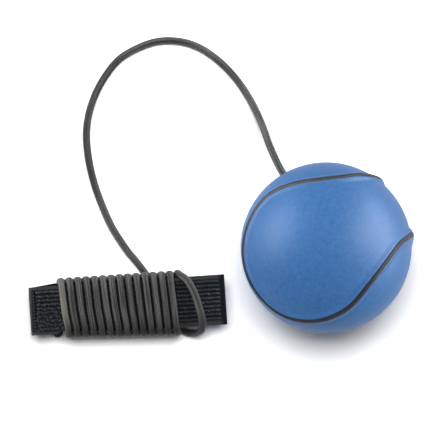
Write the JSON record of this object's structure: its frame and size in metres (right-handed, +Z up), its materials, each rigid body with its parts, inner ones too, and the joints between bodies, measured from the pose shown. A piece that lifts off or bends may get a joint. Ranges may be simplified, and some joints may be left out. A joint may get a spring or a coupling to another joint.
{
  "type": "hurling wrist ball",
  "caption": "Rubber practice ball with a raised two-lobe seam, tied to an elastic cord that is wound round its folded hook-and-loop wrist strap.",
  "frame": {"origin": "middle of the footprint of the ball and the strap, on the surface that they lie on", "axes": "+Z up from that surface, +X from the strap towards the ball"},
  "size_m": [0.1584, 0.1252, 0.07],
  "materials": {
    "ball_rubber": "satin moulded rubber",
    "seam_rubber": "matt rubber, worn along its edges",
    "elastic_cord": "fine braided cover over a rubber core",
    "webbing": "woven webbing",
    "hook_tape": "rows of fine hooks",
    "loop_tape": "brushed pile"
  },
  "bodies": {
    "strap": {"strap_band": "webbing", "hook_tape": "hook_tape", "loop_tape": "loop_tape", "cord_winding": "elastic_cord", "strap_knot": "elastic_cord", "cord_loop": "elastic_cord", "ball_knot": "elastic_cord"},
    "ball": {"ball_shell": "ball_rubber", "seam_stripe": "seam_rubber"}
  },
  "joints": [
    {"name": "ball_swivel", "type": "hinge", "parent": "strap", "child": "ball", "pos_m": [0.04304, 0.0007, 0.035], "axis": [-0.4698, 0.8138, -0.342], "continuous": true}
  ]
}
